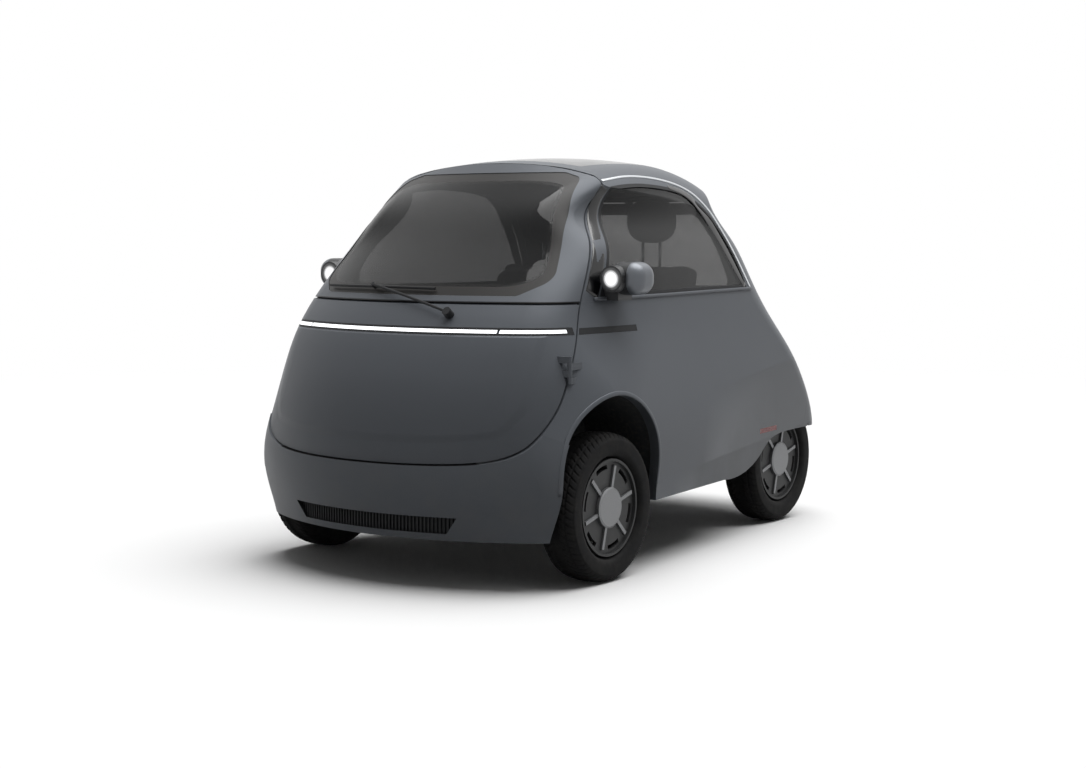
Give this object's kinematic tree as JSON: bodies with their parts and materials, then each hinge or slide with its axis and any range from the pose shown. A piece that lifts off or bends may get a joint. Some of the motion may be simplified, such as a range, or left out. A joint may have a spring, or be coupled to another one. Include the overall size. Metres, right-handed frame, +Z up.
{
  "type": "microcar",
  "caption": "Small two-seat bubble car with a front-opening door, full-width light bar, steered front wheels, rolling wheels and a lifting rear hatch.",
  "frame": {"origin": "middle of the car's bounding box in plan, on the road", "axes": "-Y is the way the car faces, +X is the car's left, +Z is up"},
  "size_m": [1.504, 2.5227, 1.501],
  "materials": {
    "body_paint": "satin",
    "bumper_paint": "satin",
    "dark_plastic": "satin",
    "gloss_black": "gloss",
    "window_glass": "gloss",
    "led_white": "gloss",
    "lamp_glass": "gloss",
    "red_lens": "gloss",
    "bright_trim": "satin",
    "tyre_rubber": "satin",
    "wheel_silver": "satin",
    "seat_fabric": "matte",
    "chassis_steel": "matte",
    "machine_alu": "satin",
    "battery_case": "matte"
  },
  "bodies": {
    "body": {"body_side_left": "body_paint", "body_side_right": "body_paint", "roof_panel": "body_paint", "front_bumper": "bumper_paint", "rear_bumper": "bumper_paint", "mirror_pod_left": "body_paint", "mirror_pod_right": "body_paint", "hinges_fixed": "body_paint", "hatch_hinges_fixed": "body_paint", "side_plates": "dark_plastic", "rear_reflectors": "red_lens", "sunroof": "gloss_black", "grille": "dark_plastic", "side_glass_left": "window_glass", "side_glass_right": "window_glass", "window_frames": "bright_trim", "headlamp_left": "lamp_glass", "headlamp_right": "lamp_glass", "floor_pan": "chassis_steel", "battery": "battery_case", "motor": "machine_alu", "rear_axle": "chassis_steel", "front_arms_left": "chassis_steel", "front_arms_right": "chassis_steel", "seat_base": "dark_plastic", "seat_cushion": "seat_fabric", "seat_back": "seat_fabric", "headrests": "seat_fabric", "steering_column": "dark_plastic", "pedals": "chassis_steel"},
    "front_door": {"front_door": "body_paint", "light_bar": "gloss_black", "light_strip": "led_white", "windscreen": "window_glass", "wiper": "dark_plastic", "hinges_moving": "body_paint", "door_shelf": "dark_plastic"},
    "rear_hatch": {"rear_hatch": "body_paint", "rear_glass": "window_glass", "rear_light_bar": "red_lens", "hatch_hinges_moving": "body_paint"},
    "steering_wheel": {"steering_wheel": "dark_plastic"},
    "knuckle_left": {"knuckle_left": "machine_alu"},
    "knuckle_right": {"knuckle_right": "machine_alu"},
    "wheel_front_left": {"rim_front_left": "wheel_silver", "tyre_front_left": "tyre_rubber"},
    "wheel_front_right": {"rim_front_right": "wheel_silver", "tyre_front_right": "tyre_rubber"},
    "wheel_rear_left": {"rim_rear_left": "wheel_silver", "tyre_rear_left": "tyre_rubber"},
    "wheel_rear_right": {"rim_rear_right": "wheel_silver", "tyre_rear_right": "tyre_rubber"}
  },
  "joints": [
    {"name": "front_door_hinge", "type": "hinge", "parent": "body", "child": "front_door", "pos_m": [0.656, -0.922, 0.74], "axis": [0, 0, 1], "range_deg": [0, 78]},
    {"name": "rear_hatch_hinge", "type": "hinge", "parent": "body", "child": "rear_hatch", "pos_m": [0, 0.5682, 1.3473], "axis": [1, 0, 0], "range_deg": [0, 70]},
    {"name": "steering", "type": "hinge", "parent": "body", "child": "steering_wheel", "pos_m": [0.25, -0.526, 0.985], "axis": [0, 0.5736, 0.8192], "range_deg": [-270, 270]},
    {"name": "steer_left", "type": "hinge", "parent": "body", "child": "knuckle_left", "pos_m": [0.6, -0.716, 0.262], "axis": [0, 0, 1], "range_deg": [-30, 30]},
    {"name": "steer_right", "type": "hinge", "parent": "body", "child": "knuckle_right", "pos_m": [-0.6, -0.716, 0.262], "axis": [0, 0, 1], "range_deg": [-30, 30]},
    {"name": "roll_front_left", "type": "hinge", "parent": "knuckle_left", "child": "wheel_front_left", "pos_m": [0.625, -0.716, 0.262], "axis": [1, 0, 0], "continuous": true},
    {"name": "roll_front_right", "type": "hinge", "parent": "knuckle_right", "child": "wheel_front_right", "pos_m": [-0.625, -0.716, 0.262], "axis": [1, 0, 0], "continuous": true},
    {"name": "roll_rear_left", "type": "hinge", "parent": "body", "child": "wheel_rear_left", "pos_m": [0.467, 0.819, 0.262], "axis": [1, 0, 0], "continuous": true},
    {"name": "roll_rear_right", "type": "hinge", "parent": "body", "child": "wheel_rear_right", "pos_m": [-0.467, 0.819, 0.262], "axis": [1, 0, 0], "continuous": true}
  ],
  "couplings": [
    {"joint": "steer_left", "follows": "steering", "ratio": 0.11111},
    {"joint": "steer_right", "follows": "steering", "ratio": 0.11111}
  ]
}
